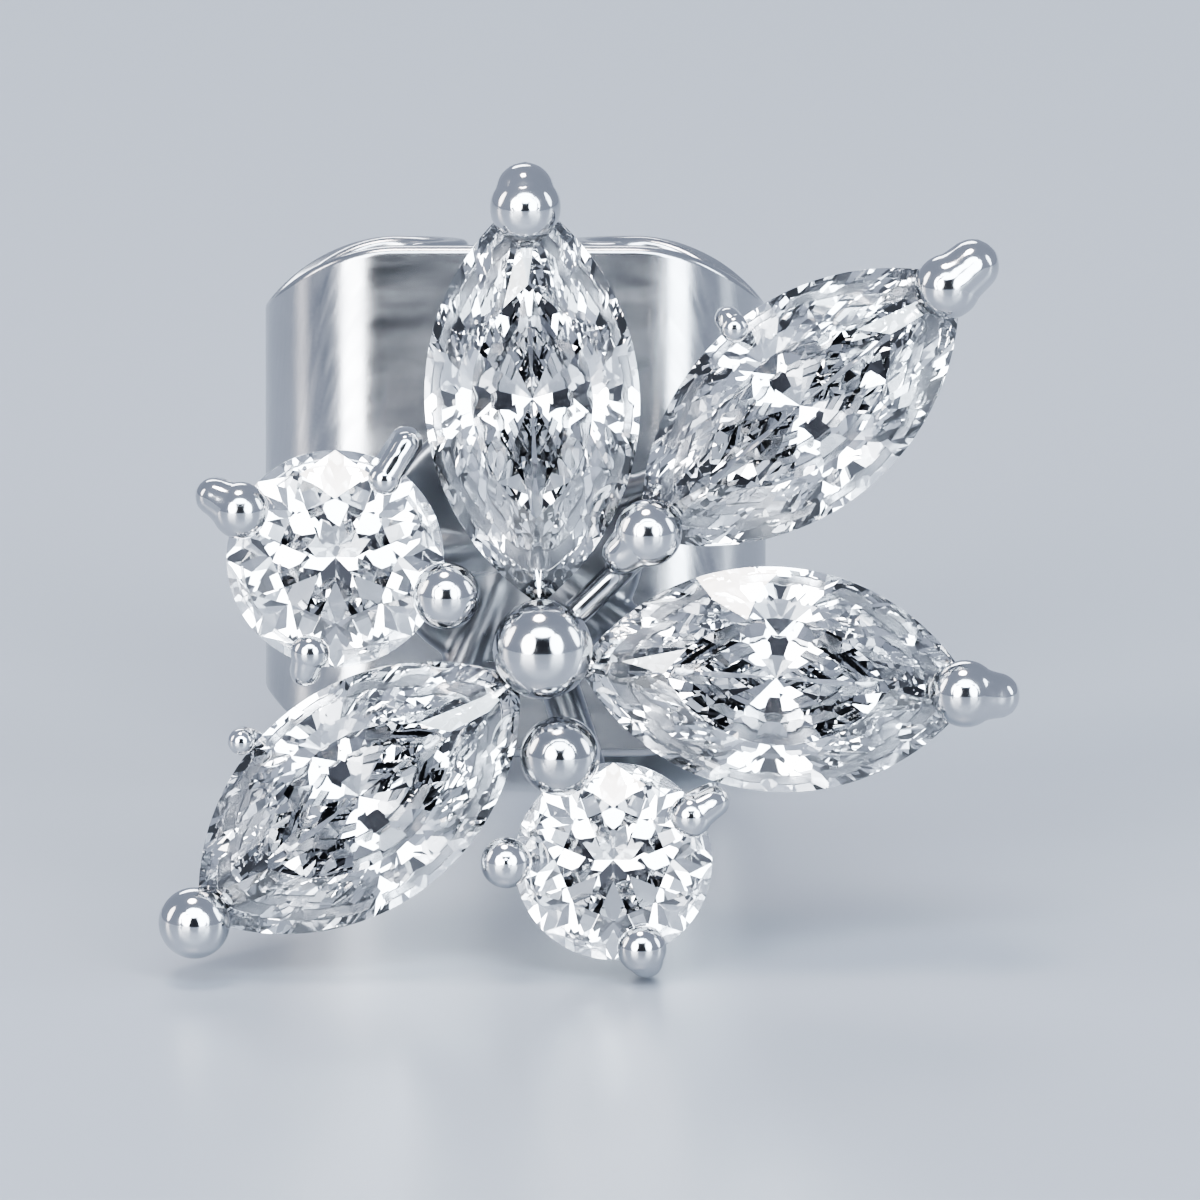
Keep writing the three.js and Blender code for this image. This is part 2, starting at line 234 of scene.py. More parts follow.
def polishedMetal(name, look):
    # bright rhodium over white gold: a mirror finish on the beads, softer in the baskets, where painted
    # shade greys its colour
    material, tree = newMaterial(name)
    place = addNode(tree, "ShaderNodeTexCoord").outputs["Object"]
    cloud = addNode(tree, "ShaderNodeTexNoise", {
        "Vector": place, "Scale": look["cloud"], "Detail": 3.0})
    turned = addNode(tree, "ShaderNodeMapping", {
        "Vector": place, "Rotation": marksTurn, "Scale": look["marks"]})
    marks = addNode(tree, "ShaderNodeTexNoise", {
        "Vector": turned.outputs["Vector"], "Scale": 1.0, "Detail": 4.0})
    grain = addNode(tree, "ShaderNodeTexNoise", {
        "Vector": place, "Scale": look["grain"], "Detail": 4.0})
    polishAndShade = addNode(tree, "ShaderNodeAttribute", attribute_name="polishAndShade").outputs["Fac"]
    start, end = noiseSpan
    tone = ramp(tree, cloud.outputs["Fac"], [(start, look["dim"]), (end, look["bright"])])
    # painted shade: the colour darkens towards the bottoms of the baskets, where less light falls
    depth = ramp(tree, polishAndShade, [(0.0, look["basketShade"]), (look["unshadedFrom"], white)])
    colour = addNode(tree, "ShaderNodeVectorMath", {0: tone, 1: depth}, operation="MULTIPLY")
    even = addNode(tree, "ShaderNodeMapRange", {
        "Value": marks.outputs["Fac"], "From Min": start, "From Max": end,
        "To Min": look["mirror"], "To Max": look["mirror"] + look["spread"]})
    dull = addNode(tree, "ShaderNodeMapRange", {
        "Value": polishAndShade, "From Min": 0.0, "From Max": 1.0, "To Min": look["satin"], "To Max": 0.0})
    rough = addNode(tree, "ShaderNodeMath", {
        0: even.outputs["Result"], 1: dull.outputs["Result"]}, operation="ADD")
    both = addNode(tree, "ShaderNodeMath", {
        0: marks.outputs["Fac"], 1: grain.outputs["Fac"]}, operation="ADD")
    bump = addNode(tree, "ShaderNodeBump", {
        "Height": both.outputs["Value"], "Strength": look["bump"], "Distance": look["depth"]})
    metal = addNode(tree, "ShaderNodeBsdfPrincipled", {
        "Base Color": colour.outputs["Vector"], "Metallic": 1.0, "Roughness": rough.outputs["Value"],
        "Normal": bump.outputs["Normal"]})
    addNode(tree, "ShaderNodeOutputMaterial", {"Surface": metal.outputs["BSDF"]})
    return material


def cutCrystal(name, look):
    # clear all through, with a breath of haze here and there on the facets
    material, tree = newMaterial(name)
    place = addNode(tree, "ShaderNodeTexCoord").outputs["Object"]
    cloud = addNode(tree, "ShaderNodeTexNoise", {
        "Vector": place, "Scale": look["cloud"], "Detail": 2.0})
    wipe = addNode(tree, "ShaderNodeTexNoise", {
        "Vector": place, "Scale": look["wipe"], "Detail": 4.0})
    start, end = noiseSpan
    colour = ramp(tree, cloud.outputs["Fac"], [(start, look["cool"]), (end, look["clear"])])
    wiped, hazed = look["hazeSpan"]
    rough = addNode(tree, "ShaderNodeMapRange", {
        "Value": wipe.outputs["Fac"], "From Min": wiped, "From Max": hazed,
        "To Min": 0.0, "To Max": look["haze"]})
    glass = addNode(tree, "ShaderNodeBsdfPrincipled", {
        "Base Color": colour, "Roughness": rough.outputs["Result"], "IOR": look["ior"],
        "Transmission Weight": 1.0})
    addNode(tree, "ShaderNodeOutputMaterial", {"Surface": glass.outputs["BSDF"]})
    return material


# cloud, marks and grain are the scales of the noises; dim and bright are the metal's colour, and the
# third colour is painted shade that darkens it in the baskets; mirror, spread and satin are roughness;
# depth is the bump's, in metres
castLook = {
    "cloud": 900, "marks": (1500, 24000, 9000), "grain": 30000,
    "dim": (0.53, 0.535, 0.55), "bright": (0.65, 0.655, 0.67), "basketShade": (0.55, 0.56, 0.58),
    "unshadedFrom": 0.8, "mirror": 0.07, "spread": 0.07, "satin": 0.2, "bump": 0.25, "depth": 0.0000008,
}
stampLook = {
    "cloud": 700, "marks": (1200, 26000, 1800), "grain": 26000,
    "dim": (0.53, 0.535, 0.55), "bright": (0.64, 0.645, 0.66), "basketShade": (0.55, 0.555, 0.57),
    "unshadedFrom": 0.8, "mirror": 0.1, "spread": 0.12, "satin": 0.1, "bump": 0.3, "depth": 0.000001,
}
crystalLook = {
    "cloud": 500, "cool": (0.965, 0.98, 1.0), "clear": white, "ior": 2.417,
    "wipe": 1200, "hazeSpan": (0.45, 0.8), "haze": 0.004,
}
castMetal = polishedMetal("polished_white_gold", castLook)
stampedMetal = polishedMetal("stamped_white_gold", stampLook)
crystal = cutCrystal("cut_diamond", crystalLook)
print("materials ready")

# the open basket under each stone: two rails that follow the outline at shares of its size, and struts
basket = {
    "foot": 0.47, "footHeight": -1.21, "strutHead": 0.76, "strutHeadHeight": -0.37, "strutRadius": 0.14,
    "upperRail": {"middle": 0.76, "height": -0.37, "across": 0.21, "tall": 0.34, "corner": 0.07},
    "lowerRail": {"middle": 0.47, "height": -1.21, "across": 0.21, "tall": 0.26, "corner": 0.07},
    "cutsPerStep": 6,
}
# elbow, top and beadHeight are heights, flat is a bead's height over its width, and neck is a prong's
# radius over its bead's where the two join
prongShape = {
    "elbow": -0.3, "top": 0.14, "bend": 0.4, "beadHeight": 0.2, "flat": 0.86, "neck": 0.9,
    "beadSegments": 56,
}
# a row is a prong's stone and step, its bead's radius, how far in from the outline the bead's middle
# lies, the radii of its shank and its shoulder, and how far outside the outline it stands
prongs = [
    ("marquise_top", 0, 0.345, 0.12, 0.21, 0.29, 0.04),
    ("marquise_upper_right", 0, 0.32, 0.14, 0.2, 0.27, 0.17),
    ("marquise_upper_right", 8, 0.33, 0.08, 0.2, 0.21, 0.24),
    ("marquise_upper_right", 4, 0.14, 0.02, 0.13, 0.13, 0.08),
    ("marquise_right", 0, 0.33, 0.09, 0.2, 0.23, 0.22),
    ("marquise_lower_left", 0, 0.35, -0.06, 0.22, 0.22, 0.16),
    ("marquise_lower_left", 12.95, 0.13, -0.12, 0.13, 0.13, 0.12),
    ("round_left", 6.78, 0.28, 0.02, 0.18, 0.19, 0.27),
    ("round_left", 2.6, 0.16, 0.14, 0.17, 0.14, 0.26),
    ("round_left", 15.2, 0.33, -0.08, 0.2, 0.2, 0.14),
    ("round_left", 11.33, 0.19, 0.12, 0.16, 0.15, 0.08),
    ("round_bottom", 5.18, 0.39, -0.2, 0.22, 0.22, 0.16),
    ("round_bottom", 1.38, 0.21, 0.08, 0.17, 0.16, 0.18),
    ("round_bottom", 8, 0.25, -0.08, 0.17, 0.17, 0.1),
    ("round_bottom", 12.81, 0.24, 0.08, 0.17, 0.17, 0.06),
]
# the middle bead on its own shank, and the bar from there to the upper right basket
middle = {"bead": 0.49, "height": 0.24, "shank": 0.25}
link = {"radius": 0.14, "height": -0.34, "start": (0.12, 0.12), "end": (1.02, 0.98)}
# the round plate behind the stones, with an arm to the foot of each basket
hub = {
    "x": -0.3, "y": 0.95, "radius": 1.3, "front": -1.2, "back": -1.62, "edge": 0.09,
    "arm": 0.2, "armEnd": -1.24, "wireSpacing": 0.1,
}
# the fused casting: voxel and seatGap are lengths, and between the two heights the metal climbs from a
# soft finish with painted shade to full polish; facets of a stone smaller than sliver have no sure
# direction
casting = {
    "voxel": 0.042, "softness": 0.5, "smoothing": 6, "seatGap": 0.012,
    "polishAndShadeFrom": -0.9, "polishAndShadeTo": 0.0, "sliver": 1e-5, "planeDecimals": 4,
}


def wireCurve(name, wires, cyclic=False):
    # one spline for each row: its points and the radius at each
    data = bpy.data.curves.new(name, "CURVE")
    data.dimensions = "3D"
    for points, radii in wires:
        spline = data.splines.new("POLY")
        spline.points.add(len(points) - 1)
        for target, point, radius in zip(spline.points, points, radii):
            target.co = (*point, 1)
            target.radius = radius
        spline.use_cyclic_u = cyclic
    return newObject(name, data)


def wireTree():
    # round-ended rods along wires
    tree = newTree("wireRods", [
        ("Bend", "Float", 0.3), ("Bend Cuts", "Int", 12), ("Spacing", "Float", 0.05),
        ("Sides", "Int", 24), ("End Rings", "Int", 16)])
    start = addNode(tree, "NodeGroupInput").outputs
    bent = addNode(tree, "GeometryNodeFilletCurve", {
        "Curve": start["Geometry"], "Count": start["Bend Cuts"], "Radius": start["Bend"],
        "Limit Radius": True}, mode="POLY")
    even = addNode(tree, "GeometryNodeResampleCurve", {
        "Curve": bent.outputs["Curve"], "Length": start["Spacing"]}, mode="LENGTH")
    ring = addNode(tree, "GeometryNodeCurvePrimitiveCircle", {
        "Resolution": start["Sides"], "Radius": 1.0})
    radius = addNode(tree, "GeometryNodeInputRadius").outputs["Radius"]
    tube = addNode(tree, "GeometryNodeCurveToMesh", {
        "Curve": even.outputs["Curve"], "Profile Curve": ring.outputs["Curve"], "Scale": radius,
        "Fill Caps": True})
    ball = addNode(tree, "GeometryNodeMeshUVSphere", {
        "Segments": start["Sides"], "Rings": start["End Rings"], "Radius": 1.0})
    ends = addNode(tree, "GeometryNodeCurveEndpointSelection")
    balls = addNode(tree, "GeometryNodeInstanceOnPoints", {
        "Points": even.outputs["Curve"], "Selection": ends.outputs["Selection"],
        "Instance": ball.outputs["Mesh"], "Scale": radius})
    both = addNode(tree, "GeometryNodeJoinGeometry", {"Geometry": tube.outputs["Mesh"]})
    tree.links.new(balls.outputs["Instances"], both.inputs["Geometry"])
    return endTree(tree, both.outputs["Geometry"], castMetal)


def railTree():
    # flat bands with rounded edges along closed loops
    tree = newTree("railBands", [
        ("Across", "Float", 0.2), ("Tall", "Float", 0.3), ("Corner", "Float", 0.05),
        ("Corner Cuts", "Int", 4), ("Spacing", "Float", 0.05)])
    start = addNode(tree, "NodeGroupInput").outputs
    even = addNode(tree, "GeometryNodeResampleCurve", {
        "Curve": start["Geometry"], "Length": start["Spacing"]}, mode="LENGTH")
    level = addNode(tree, "GeometryNodeSetCurveNormal", {"Curve": even.outputs["Curve"]}, mode="Z_UP")
    band = addNode(tree, "GeometryNodeCurvePrimitiveQuadrilateral", {
        "Width": start["Across"], "Height": start["Tall"]})
    eased = addNode(tree, "GeometryNodeFilletCurve", {
        "Curve": band.outputs["Curve"], "Count": start["Corner Cuts"], "Radius": start["Corner"]},
        mode="POLY")
    tube = addNode(tree, "GeometryNodeCurveToMesh", {
        "Curve": level.outputs["Curve"], "Profile Curve": eased.outputs["Curve"]})
    return endTree(tree, tube.outputs["Mesh"], castMetal)


def beadTree():
    # a flattened ball on every point, as large as the point's own size says
    tree = newTree("prongBeads", [("Segments", "Int", 48), ("Rings", "Int", 28), ("Flat", "Float", 0.86)])
    start = addNode(tree, "NodeGroupInput").outputs
    ball = addNode(tree, "GeometryNodeMeshUVSphere", {
        "Segments": start["Segments"], "Rings": start["Rings"], "Radius": 1.0})
    flat = addNode(tree, "ShaderNodeCombineXYZ", {"X": 1.0, "Y": 1.0, "Z": start["Flat"]})
    shaped = addNode(tree, "GeometryNodeTransform", {
        "Geometry": ball.outputs["Mesh"], "Scale": flat.outputs["Vector"]})
    size = addNode(tree, "GeometryNodeInputNamedAttribute", {"Name": "size"}, data_type="FLOAT")
    balls = addNode(tree, "GeometryNodeInstanceOnPoints", {
        "Points": start["Geometry"], "Instance": shaped.outputs["Geometry"],
        "Scale": size.outputs["Attribute"]})
    return endTree(tree, balls.outputs["Instances"], castMetal)


def footOf(stone, step):
    return onFace(stone, step, fraction=basket["foot"], height=basket["footHeight"])


def prongWires():
    # from the lower rail out to the girdle, upright outside it, and over its edge into the bead
    wires = []
    for name, step, bead, reach, shank, shoulder, out in prongs:
        stone = stones[name]
        elbow = onFace(stone, step, outBy=out, height=prongShape["elbow"])
        top = onFace(stone, step, outBy=out, height=prongShape["top"])
        tip = onFace(stone, step, outBy=-reach, height=prongShape["beadHeight"])
        wires.append(([footOf(stone, step), elbow, top], [shank, shank, shoulder]))
        wires.append(([top, tip], [shoulder, bead * prongShape["neck"]]))
    return wires


def straightWires():
    # struts of the baskets, arms of the hub, the link bar and the middle bead's shank
    wires = []
    root = Vector((hub["x"], hub["y"], (hub["front"] + hub["back"]) / 2))
    for stone in stones.values():
        for step in stone["struts"]:
            head = onFace(stone, step, fraction=basket["strutHead"], height=basket["strutHeadHeight"])
            wires.append(([footOf(stone, step), head], [basket["strutRadius"]] * 2))
        end = onFace(stone, stone["hubStep"], fraction=basket["foot"], height=hub["armEnd"])
        wires.append(([root, end], [hub["arm"]] * 2))
    bar = [Vector((*link[side], link["height"])) for side in ("start", "end")]
    wires.append((bar, [link["radius"]] * 2))
    shank = [Vector((0, 0, root.z)), Vector((0, 0, middle["height"]))]
    wires.append((shank, [middle["shank"]] * 2))
    return wires


def railLoops(rail):
    cuts = basket["cutsPerStep"]
    steps = [i / cuts for i in range(outlineSteps * cuts)]
    loops = []
    for stone in stones.values():
        points = [onFace(stone, s, fraction=rail["middle"], height=rail["height"]) for s in steps]
        loops.append((points, [1.0] * len(points)))
    return loops


def railInputs(rail):
    return {"Across": rail["across"], "Tall": rail["tall"], "Corner": rail["corner"]}


def beadPoints():
    # the middle bead first, then one bead for each prong
    places = [Vector((0, 0, middle["height"]))]
    sizes = [middle["bead"]]
    for name, step, bead, reach, *_ in prongs:
        places.append(onFace(stones[name], step, outBy=-reach, height=prongShape["beadHeight"]))
        sizes.append(bead)
    mesh = newMesh("beadPoints", places, [])
    mesh.attributes.new("size", "FLOAT", "POINT").data.foreach_set("value", sizes)
    return newObject("beadPoints", mesh)


def revolve(name, profile, centre, sides=128):
    # profile rows are radius and height, from the back to the front; the ends are closed with flat caps
    points, faces = [], []
    for radius, height in profile:
        for i in range(sides):
            angle = 2 * math.pi * i / sides
            x, y = centre[0] + radius * math.cos(angle), centre[1] + radius * math.sin(angle)
            points.append((x, y, height))
    for row in range(len(profile) - 1):
        low, high = row * sides, (row + 1) * sides
        for i in range(sides):
            j = (i + 1) % sides
            faces.append((low + i, low + j, high + j, high + i))
    faces.append(tuple(reversed(range(sides))))
    faces.append(tuple(range((len(profile) - 1) * sides, len(profile) * sides)))
    return newMesh(name, points, faces)


def corner(radius, height, size, start, cuts=6):
    # a rounded corner of a profile: its middle, its size and the angle that it starts at
    steps = [start + math.pi / 2 * i / cuts for i in range(cuts + 1)]
    return [(radius + size * math.cos(a), height + size * math.sin(a)) for a in steps]


def plateProfile():
    edge = hub["edge"]
    back = corner(hub["radius"] - edge, hub["back"] + edge, edge, -math.pi / 2)
    front = corner(hub["radius"] - edge, hub["front"] - edge, edge, 0)
    return back + front


def stonePlanes(node):
    # the facet planes of a stone: direction outwards and distance from the middle bead's place
    points = nodePoints(node, toRow)
    corners = np.array([p.vertices[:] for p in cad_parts[node].data.polygons])
    a, b, c = (points[corners[:, i]] for i in range(3))
    normals = np.cross(b - a, c - a)
    sizes = np.linalg.norm(normals, axis=1)
    keep = sizes > casting["sliver"]
    normals = normals[keep] / sizes[keep, None]
    rows = np.column_stack([normals, (normals * a[keep]).sum(1)])
    rows = np.unique(np.round(rows, casting["planeDecimals"]), axis=0)
    return rows[:, :3], rows[:, 3]


def pointsOf(mesh):
    flat = np.empty(len(mesh.vertices) * 3)
    mesh.vertices.foreach_get("co", flat)
    return flat.reshape(-1, 3)


def clearOfStones(mesh, gap):
    # metal that would reach into a stone is pressed back to the nearest facet, which cuts its seat
    points = pointsOf(mesh)
    for node in stones:
        normals, levels = stonePlanes(node)
        depths = points @ normals.T - levels
        nearest = depths.argmax(1)
        depth = depths[np.arange(len(points)), nearest]
        inside = depth < gap
        points[inside] += normals[nearest[inside]] * (gap - depth[inside])[:, None]
    mesh.vertices.foreach_set("co", points.ravel())
    mesh.update()


def polishAndShadeByHeight(mesh):
    # the wheel reaches the beads and the front, and hardly the bottoms of the baskets, which also get
    # painted shade
    height = pointsOf(mesh)[:, 2]
    share = (height - casting["polishAndShadeFrom"]) / (casting["polishAndShadeTo"] - casting["polishAndShadeFrom"])
    setPolishAndShade(mesh, np.clip(share, 0, 1))


def makeCasting():
    rods, bands = wireTree(), railTree()
    upper, lower = basket["upperRail"], basket["lowerRail"]
    parts = [
        grow(wireCurve("prongPaths", prongWires()), rods, "shanks", {"Bend": prongShape["bend"]}),
        grow(wireCurve("straightPaths", straightWires()), rods, "struts", {
            "Spacing": hub["wireSpacing"]}),
        grow(wireCurve("upperPaths", railLoops(upper), True), bands, "upperRails", railInputs(upper)),
        grow(wireCurve("lowerPaths", railLoops(lower), True), bands, "lowerRails", railInputs(lower)),
        grow(beadPoints(), beadTree(), "beadCores", {}),
        revolve("hubPlate", plateProfile(), (hub["x"], hub["y"])),
    ]
    piece = joined("setting_baskets", parts)
    fuse = piece.modifiers.new("fuse", "REMESH")
    fuse.mode = "VOXEL"
    fuse.voxel_size = casting["voxel"]
    fuse.use_smooth_shade = True
    soften = piece.modifiers.new("soften", "SMOOTH")
    soften.factor = casting["softness"]
    soften.iterations = casting["smoothing"]
    applyModifiers(piece)
    clearOfStones(piece.data, casting["seatGap"])
    polishAndShadeByHeight(piece.data)
    return piece


def makeBeads():
    inputs = {"Segments": prongShape["beadSegments"], "Flat": prongShape["flat"]}
    mesh = grow(beadPoints(), beadTree(), "setting_beads", inputs)
    mesh.shade_smooth()
    clearOfStones(mesh, casting["seatGap"])
    polishAndShadeByHeight(mesh)
    return newObject("setting_beads", mesh)


def finished(piece, material, slot, *nodes):
    # to the row frame in metres, with its finish, and with the CAD nodes that it stands for hidden
    piece.data.transform(toRow)
    piece.data.update()
    piece.data.materials.clear()
    piece.data.materials.append(material)
    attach(piece, "root")
    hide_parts(*nodes)
    return piece


settingBaskets = finished(makeCasting(), castMetal, "white_metal", "setting")
settingBeads = finished(makeBeads(), castMetal, "white_metal", "setting")
print("setting:", len(settingBaskets.data.polygons), "and", len(settingBeads.data.polygons), "faces")

# end and root are heights on the face, and root is inside the hub plate; tip is the radius of the
# post's end, and ease how far its two edges there are rounded; its polish value also paints a little
# shade into its colour
post = {
    "radius": 0.42, "end": -11.6, "tip": 0.24, "tipLength": 0.16, "ease": 0.05, "plainFrom": 0.6,
    "fillet": 0.16, "root": -1.5, "sides": 64, "rings": 24, "flareRings": 8, "sharpFrom": 40,
    "polishAndShade": 0.7,
}


def makePost():
    # a straight pin, soldered to the back of the hub with a small fillet, its tip tapered and rounded
    radius, end, ease, fillet = post["radius"], post["end"], post["ease"], post["fillet"]
    tipRadius, neck = post["tip"], end + post["tipLength"]
    tip = [(tipRadius - ease, end), (tipRadius - ease * 0.3, end + ease * 0.3), (tipRadius, end + ease)]
    taper = [(radius - ease * 0.6, neck), (radius, neck + ease * 1.5)]
    rings, low = post["rings"], end + post["plainFrom"]
    straight = [(radius, low + (hub["back"] - fillet - low) * i / rings) for i in range(rings + 1)]
    turns = [math.pi / 2 * (i + 1) / post["flareRings"] for i in range(post["flareRings"])]
    flare = [(radius + fillet * (1 - math.cos(turn)), hub["back"] - fillet * (1 - math.sin(turn)))
             for turn in turns]
    profile = tip + taper + straight + flare + [(radius, post["root"])]
    mesh = revolve("ear_post", profile, (hub["x"], hub["y"]), post["sides"])
    mesh.shade_smooth()
    mesh.set_sharp_from_angle(angle=math.radians(post["sharpFrom"]))
    setPolishAndShade(mesh, [post["polishAndShade"]] * len(mesh.vertices))
    return newObject("ear_post", mesh)


earPost = finished(makePost(), castMetal, "white_metal", "setting")
print("post:", len(earPost.data.polygons), "faces")

# a butterfly clutch: one stamped strip, its plate in the middle and both ends curled back beside the
# post; innerShare is the size of a curl over that of its bend, and curlTurn how far it curls, in degrees;
# its polish value also darkens its colour a little as painted shade
clutch = {
    "front": -7.9, "strip": 0.3, "width": 5.1, "height": 5.2, "depth": 2.4, "corner": 1.5,
    "postGap": 0.05, "countersink": 0.1, "innerShare": 0.72, "curlTurn": 160, "edge": 0.09,
    "sharpFrom": 32, "polishAndShade": 0.6,
    "plateCuts": 24, "bendCuts": 48, "curlCuts": 44, "holeSides": 96,
}


def stripLine():
    # the strip's middle line from its left end to its right end: place across the post, place along it
    outer = (clutch["depth"] - clutch["strip"]) / 2
    bendX = (clutch["width"] - clutch["strip"]) / 2 - outer
    inner = clutch["innerShare"] * outer
    curlX = post["radius"] + clutch["postGap"] + clutch["strip"] / 2 + inner
    curlY = inner - 2 * outer
    half = [(bendX * i / clutch["plateCuts"], 0.0) for i in range(clutch["plateCuts"])]
    for i in range(clutch["bendCuts"] + 1):
        angle = math.radians(90 - 180 * i / clutch["bendCuts"])
        half.append((bendX + outer * math.cos(angle), -outer + outer * math.sin(angle)))
    half.append(((bendX + curlX) / 2, -2 * outer))
    for i in range(clutch["curlCuts"] + 1):
        angle = math.radians(-90 - clutch["curlTurn"] * i / clutch["curlCuts"])
        half.append((curlX + inner * math.cos(angle), curlY + inner * math.sin(angle)))
    return [(-x, y) for x, y in reversed(half[1:])] + half


def halfHeightAt(x):
    # the stamped blank has rounded corners, so the strip is shorter towards its two sides
    reach = (clutch["width"] + clutch["strip"]) / 2 - clutch["corner"]
    past = max(abs(x) - reach, 0)
    return clutch["height"] / 2 - clutch["corner"] + math.sqrt(max(clutch["corner"] ** 2 - past ** 2, 0))


def stripSection(halfHeight, halfThick, edge, cuts=4):
    # the strip's cut end: height and thickness round a rectangle with eased corners
    loop = []
    for upward, outward, start in ((1, 1, 0), (-1, 1, 90), (-1, -1, 180), (1, -1, 270)):
        for i in range(cuts + 1):
            angle = math.radians(start + 90 * i / cuts)
            loop.append((upward * (halfHeight - clutch["edge"]) + edge * math.cos(angle),
                         outward * (halfThick - clutch["edge"]) + edge * math.sin(angle)))
    return loop


def stripRows():
    # where each section stands, which way the strip runs there and how far its edge is eased
    line = [Vector(p) for p in stripLine()]
    end = len(line) - 1
    ways = [(line[min(i + 1, end)] - line[max(i - 1, 0)]).normalized() for i in range(end + 1)]
    rows = [(p, w, clutch["edge"]) for p, w in zip(line[2:-2], ways[2:-2])]
    first, last = rows[0], rows[-1]
    for degrees in (30, 60, 90):
        turn = math.radians(degrees)
        reach, edge = clutch["edge"] * math.sin(turn), clutch["edge"] * math.cos(turn)
        rows.insert(0, (first[0] - first[1] * reach, first[1], edge))
        rows.append((last[0] + last[1] * reach, last[1], edge))
    return rows


def makeClutch():
    points, faces = [], []
    rows = stripRows()
    middleZ = clutch["front"] - clutch["strip"] / 2
    for place, way, edge in rows:
        side = Vector((-way.y, way.x))
        for up, out in stripSection(halfHeightAt(place.x), clutch["strip"] / 2, edge):
            spot = place + side * out
            points.append((hub["x"] + spot.x, hub["y"] + up, middleZ + spot.y))
    count = len(points) // len(rows)
    for row in range(len(rows) - 1):
        low, high = row * count, (row + 1) * count
        for i in range(count):
            j = (i + 1) % count
            faces.append((low + i, high + i, high + j, low + j))
    faces.append(tuple(range(count)))
    faces.append(tuple(reversed(range(len(points) - count, len(points)))))
    piece = newObject("butterfly_clutch", newMesh("butterfly_clutch", points, faces))
    half, sink = clutch["strip"] / 2, clutch["countersink"]
    bore = post["radius"] + clutch["postGap"]
    wide = bore + 2 * sink
    profile = [(wide, -half - sink), (bore, sink - half), (bore, half - sink), (wide, half + sink)]
    profile = [(radius, middleZ + height) for radius, height in profile]
    shape = revolve("holeCutter", profile, (hub["x"], hub["y"]), clutch["holeSides"])
    cutter = newObject("holeCutter", shape)
    hole = piece.modifiers.new("hole", "BOOLEAN")
    hole.operation = "DIFFERENCE"
    hole.solver = "EXACT"
    hole.object = cutter
    applyModifiers(piece)
    bpy.data.objects.remove(cutter)
    piece.data.shade_smooth()
    piece.data.set_sharp_from_angle(angle=math.radians(clutch["sharpFrom"]))
    flat = piece.modifiers.new("flat", "WEIGHTED_NORMAL")
    flat.keep_sharp = True
    applyModifiers(piece)
    setPolishAndShade(piece.data, [clutch["polishAndShade"]] * len(piece.data.vertices))
    return piece


butterflyClutch = finished(makeClutch(), stampedMetal, "clutch_metal", "clutch")
print("clutch:", len(butterflyClutch.data.polygons), "faces")

# above and below are 1 for eight main facets on that side of the girdle and 0.5 for sixteen, and
# lowerReach is how far down the half facets go; a tier is a row of facets below the mains, with its
# depth at the middle and its fall from there to the edge
facetPlans = {
    "marquise": {
        "above": 0.5, "below": 0.5, "mains": 0.458, "lowerReach": 0.4,
        "tiers": ((0.444, 0.42), (0.43, 0.385)),
    },
    "round": {
        "above": 1.0, "below": 1.0, "mains": 0.445, "lowerReach": 0.6, "tiers": ((0.43, 0.405),),
    },
}
girdleSides = 192
blankSpare = 0.1  # how far the uncut rod reaches below the stone
sameSpot = 1e-5  # corners nearer than this to a cut lie on it


def facetThrough(a, b, c):
    # a plane that faces away from the middle of the stone: a point on it and its direction
    normal = (b - a).cross(c - a).normalized()
    return (a, normal if normal.dot(a) > 0 else -normal)


def meetOf(first, second, level):
    # where two facets and a level meet
    rows = [[*first[1]], [*second[1]], [0, 0, 1]]
    return Vector(np.linalg.solve(rows, [first[0].dot(first[1]), second[0].dot(second[1]), level]))


def sideFacets(stone, inner, level, split, reach):
    # main facets from the girdle's edge to inner, and two half facets between each two of them
    def edge(step):
        return outlineAt(stone, step)[0].to_3d() + Vector((0, 0, level))

    def main(step):
        out = outlineAt(stone, step)[1]
        return facetThrough(inner(step), edge(step), edge(step) + Vector((-out.y, out.x, 0)))

    facets, ends = [], []
    for i in range(int(outlineSteps / (2 * reach))):
        step = 2 * reach * i
        end = meetOf(main(step), main(step + 2 * reach), split)
        ends.append(end)
        facets.append(main(step))
        facets.append(facetThrough(end, edge(step), edge(step + reach)))
        facets.append(facetThrough(end, edge(step + reach), edge(step + 2 * reach)))
    return facets, ends


def tierFacets(stone, reach, level, tiers):
    # smaller rows of facets towards the point of the stone, each turned by half a facet against the last
    width = stone["width"]
    facets = []
    for row, (deep, fall) in enumerate(tiers):
        low = Vector((0, 0, level - deep * width))
        for i in range(int(outlineSteps / (2 * reach))):
            point, out = outlineAt(stone, 2 * reach * i + reach * ((row + 1) % 2))
            edge = point.to_3d() + Vector((0, 0, level - (deep - fall) * width))
            facets.append(facetThrough(low, edge, edge + Vector((-out.y, out.x, 0))))
    return facets


def stoneFacets(stone, plan):
    # all the facet planes of a stone but its table, with the heights of its table and its lowest point
    width = stone["width"]
    halfGirdle = cut["girdle"] * width / 2
    top = halfGirdle + cut["crown"] * width
    bottom = -halfGirdle - cut["pavilion"] * width
    culet = Vector((0, 0, -halfGirdle - plan["mains"] * width))

    def tableCorner(step):
        return outlineAt(stone, step)[0].to_3d() * cut["table"] + Vector((0, 0, top))

    starEnd = top - cut["starReach"] * cut["crown"] * width
    lowerEnd = -halfGirdle - plan["lowerReach"] * plan["mains"] * width
    crown, ends = sideFacets(stone, tableCorner, halfGirdle, starEnd, plan["above"])
    pavilion, _ = sideFacets(stone, lambda step: culet, -halfGirdle, lowerEnd, plan["below"])
    tiers = tierFacets(stone, plan["below"], -halfGirdle, plan["tiers"])
    corners = [tableCorner(2 * plan["above"] * i) for i in range(len(ends) + 1)]
    stars = [facetThrough(a, b, end) for a, b, end in zip(corners, corners[1:], ends)]
    return crown + pavilion + tiers + stars, top, bottom


